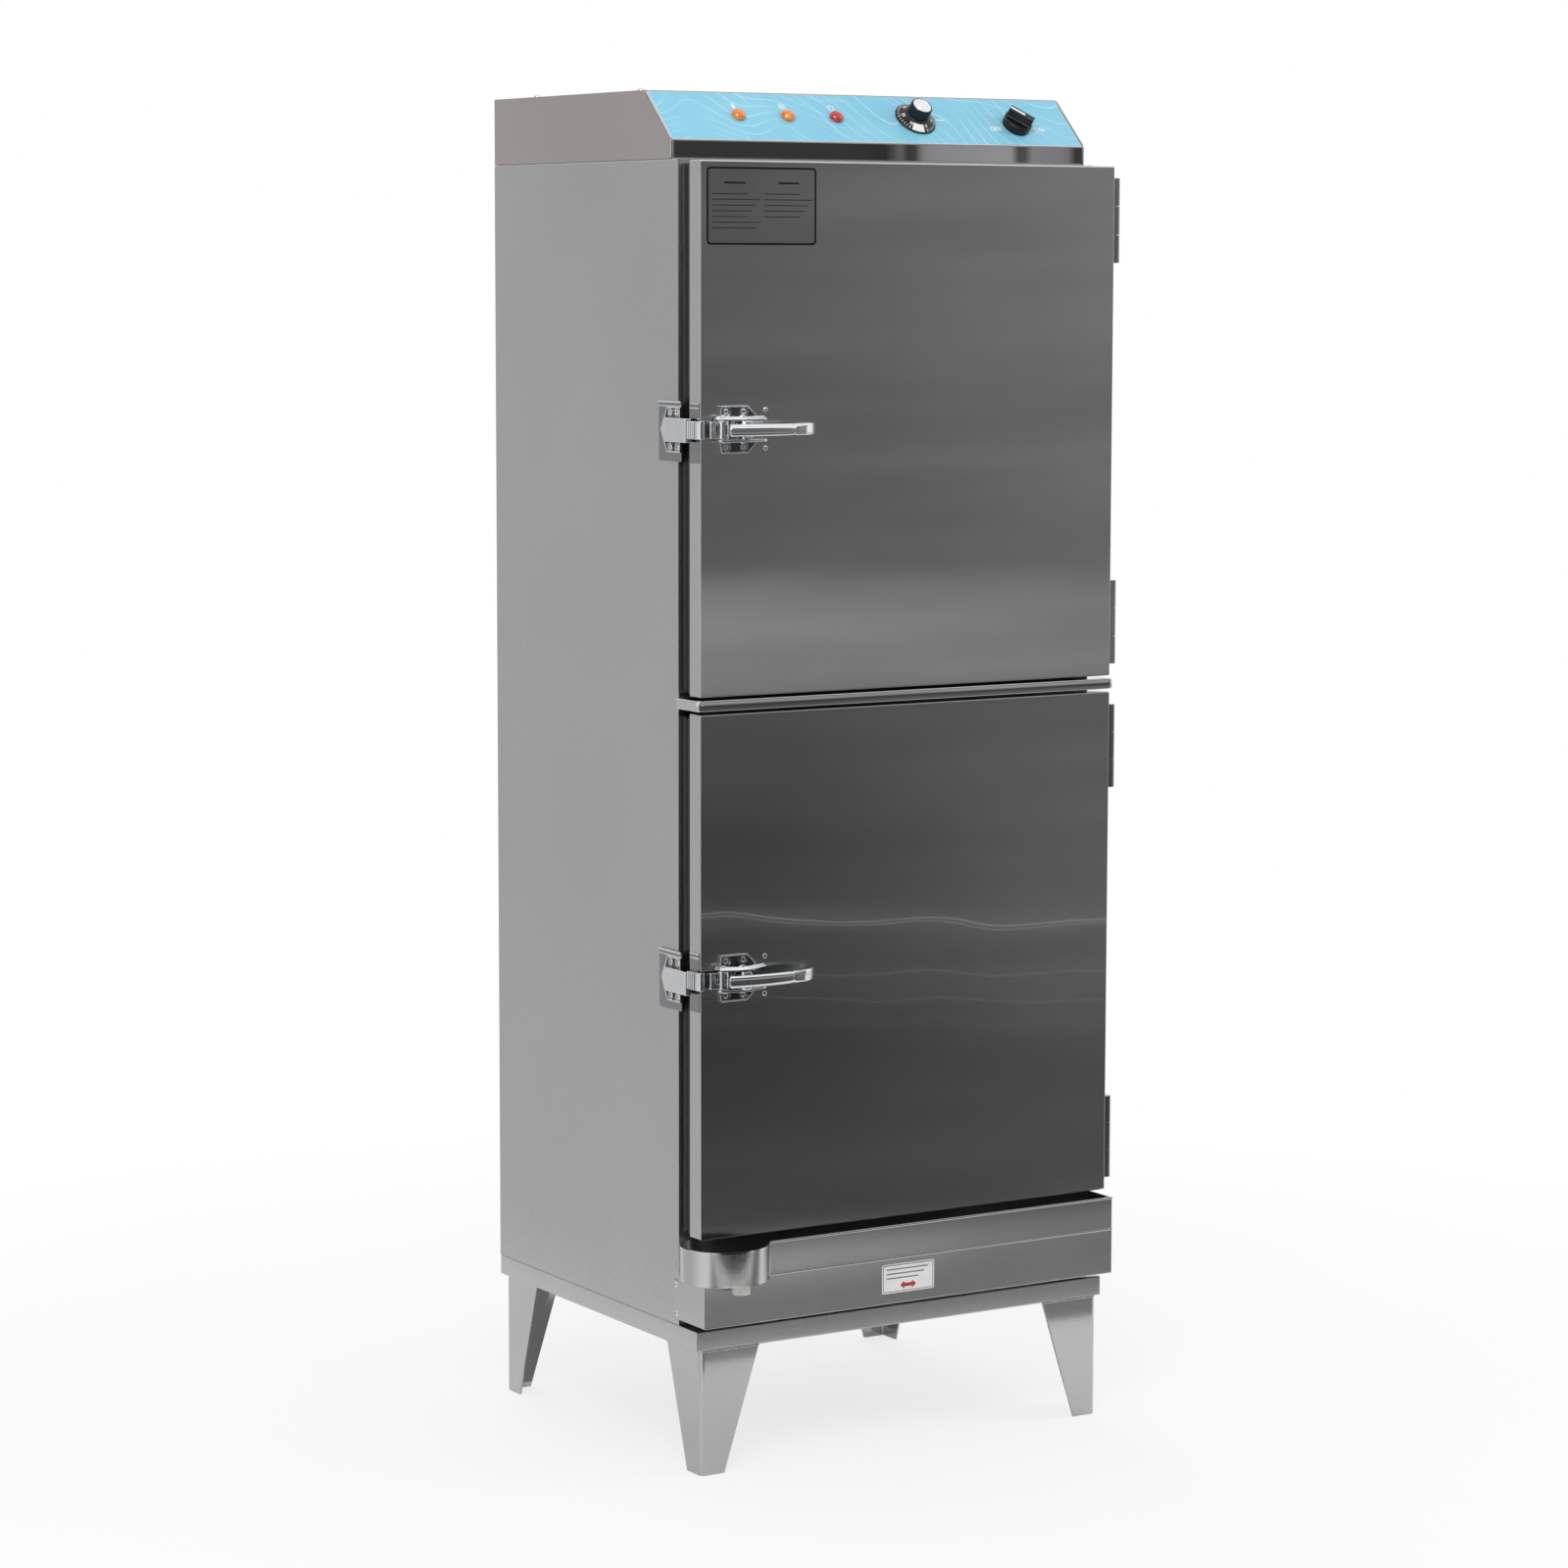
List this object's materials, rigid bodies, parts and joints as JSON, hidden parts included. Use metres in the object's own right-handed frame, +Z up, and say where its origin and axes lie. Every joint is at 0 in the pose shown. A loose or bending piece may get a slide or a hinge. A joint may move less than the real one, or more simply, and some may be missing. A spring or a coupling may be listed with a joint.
{
  "type": "towel steamer",
  "caption": "Tall stainless towel steamer cabinet on tapered legs, with stacked gasketed doors on edge latches, a sloping control panel, a drip gutter and a kick panel.",
  "frame": {"origin": "middle of the part's box, on the floor", "axes": "+Z up, the doors face -Y, +X to the right seen from the front"},
  "size_m": [0.5672, 0.5123, 1.5],
  "materials": {
    "brushed_stainless": "brushed stainless sheet",
    "polished_stainless": "polished stainless sheet",
    "chrome": "chrome plated",
    "black_rubber": "extruded rubber",
    "mineral_wool": "pressed wool slab",
    "blue_overlay": "printed polycarbonate film",
    "amber_lens": "moulded clear amber",
    "red_lens": "moulded clear red",
    "black_plastic": "moulded black",
    "pale_plastic": "moulded pale grey",
    "heater_sheath": "heat-stained steel tube"
  },
  "bodies": {
    "cabinet": {"base_frame": "brushed_stainless", "leg_front_left": "brushed_stainless", "leg_front_right": "brushed_stainless", "leg_rear_left": "brushed_stainless", "leg_rear_right": "brushed_stainless", "left_side_panel": "brushed_stainless", "right_side_panel": "brushed_stainless", "back_panel": "brushed_stainless", "front_frame": "brushed_stainless", "bottom_pan": "brushed_stainless", "top_deck": "brushed_stainless", "cabinet_insulation": "mineral_wool", "middle_rail": "polished_stainless", "chamber_liner": "brushed_stainless", "steam_baffle": "brushed_stainless", "chamber_divider": "brushed_stainless", "lower_shelf": "brushed_stainless", "upper_shelf": "brushed_stainless", "water_tank": "brushed_stainless", "heating_element": "heater_sheath", "drip_gutter": "brushed_stainless", "drain_spout": "pale_plastic", "kick_panel": "brushed_stainless", "lower_bottom_hinge_body_leaf": "polished_stainless", "lower_top_hinge_body_leaf": "polished_stainless", "upper_bottom_hinge_body_leaf": "polished_stainless", "upper_top_hinge_body_leaf": "polished_stainless", "lower_latch_strike": "chrome", "upper_latch_strike": "chrome", "head_cover": "brushed_stainless", "power_inlet": "black_plastic", "control_panel": "polished_stainless", "panel_overlay": "blue_overlay", "pilot_lamp_water": "amber_lens", "pilot_lamp_heating": "amber_lens", "pilot_lamp_power": "red_lens", "timer_body": "black_plastic", "switch_body": "black_plastic"},
    "lower_door": {"lower_door_skin": "brushed_stainless", "lower_door_core": "mineral_wool", "lower_door_liner": "brushed_stainless", "lower_door_gasket": "black_rubber", "lower_bottom_hinge_door_leaf": "polished_stainless", "lower_top_hinge_door_leaf": "polished_stainless", "lower_latch_base": "chrome"},
    "lower_handle": {"lower_latch_handle": "chrome"},
    "lower_tongue": {"lower_latch_tongue": "chrome"},
    "upper_door": {"upper_door_skin": "brushed_stainless", "upper_door_core": "mineral_wool", "upper_door_liner": "brushed_stainless", "upper_door_gasket": "black_rubber", "upper_bottom_hinge_door_leaf": "polished_stainless", "upper_top_hinge_door_leaf": "polished_stainless", "upper_latch_base": "chrome"},
    "upper_handle": {"upper_latch_handle": "chrome"},
    "upper_tongue": {"upper_latch_tongue": "chrome"},
    "timer": {"timer_knob": "black_plastic"},
    "switch": {"switch_knob": "black_plastic"}
  },
  "joints": [
    {"name": "lower_door_swing", "type": "hinge", "parent": "cabinet", "child": "lower_door", "pos_m": [0.2784, -0.20115, 0.54965], "axis": [0, 0, 1], "range_deg": [0, 180]},
    {"name": "lower_handle_pull", "type": "hinge", "parent": "lower_door", "child": "lower_handle", "pos_m": [-0.2226, -0.22615, 0.54965], "axis": [0, 0, -1], "range_deg": [0, 25], "stiffness_Nm_per_rad": 0.5},
    {"name": "lower_tongue_release", "type": "hinge", "parent": "lower_door", "child": "lower_tongue", "pos_m": [-0.2426, -0.22015, 0.54965], "axis": [0, 0, 1], "range_deg": [0, 15]},
    {"name": "upper_door_swing", "type": "hinge", "parent": "cabinet", "child": "upper_door", "pos_m": [0.2784, -0.20115, 1.13965], "axis": [0, 0, 1], "range_deg": [0, 180]},
    {"name": "upper_handle_pull", "type": "hinge", "parent": "upper_door", "child": "upper_handle", "pos_m": [-0.2226, -0.22615, 1.13965], "axis": [0, 0, -1], "range_deg": [0, 25], "stiffness_Nm_per_rad": 0.5},
    {"name": "upper_tongue_release", "type": "hinge", "parent": "upper_door", "child": "upper_tongue", "pos_m": [-0.2426, -0.22015, 1.13965], "axis": [0, 0, 1], "range_deg": [0, 15]},
    {"name": "timer_turn", "type": "hinge", "parent": "cabinet", "child": "timer", "pos_m": [0.06414, -0.11854, 1.47292], "axis": [0, 0.6915, -0.7224], "range_deg": [0, 300]},
    {"name": "switch_turn", "type": "hinge", "parent": "cabinet", "child": "switch", "pos_m": [0.1954, -0.12359, 1.46808], "axis": [0, 0.6915, -0.7224], "range_deg": [0, 90]}
  ],
  "couplings": [
    {"joint": "lower_tongue_release", "follows": "lower_handle_pull", "ratio": 0.6},
    {"joint": "upper_tongue_release", "follows": "upper_handle_pull", "ratio": 0.6}
  ]
}
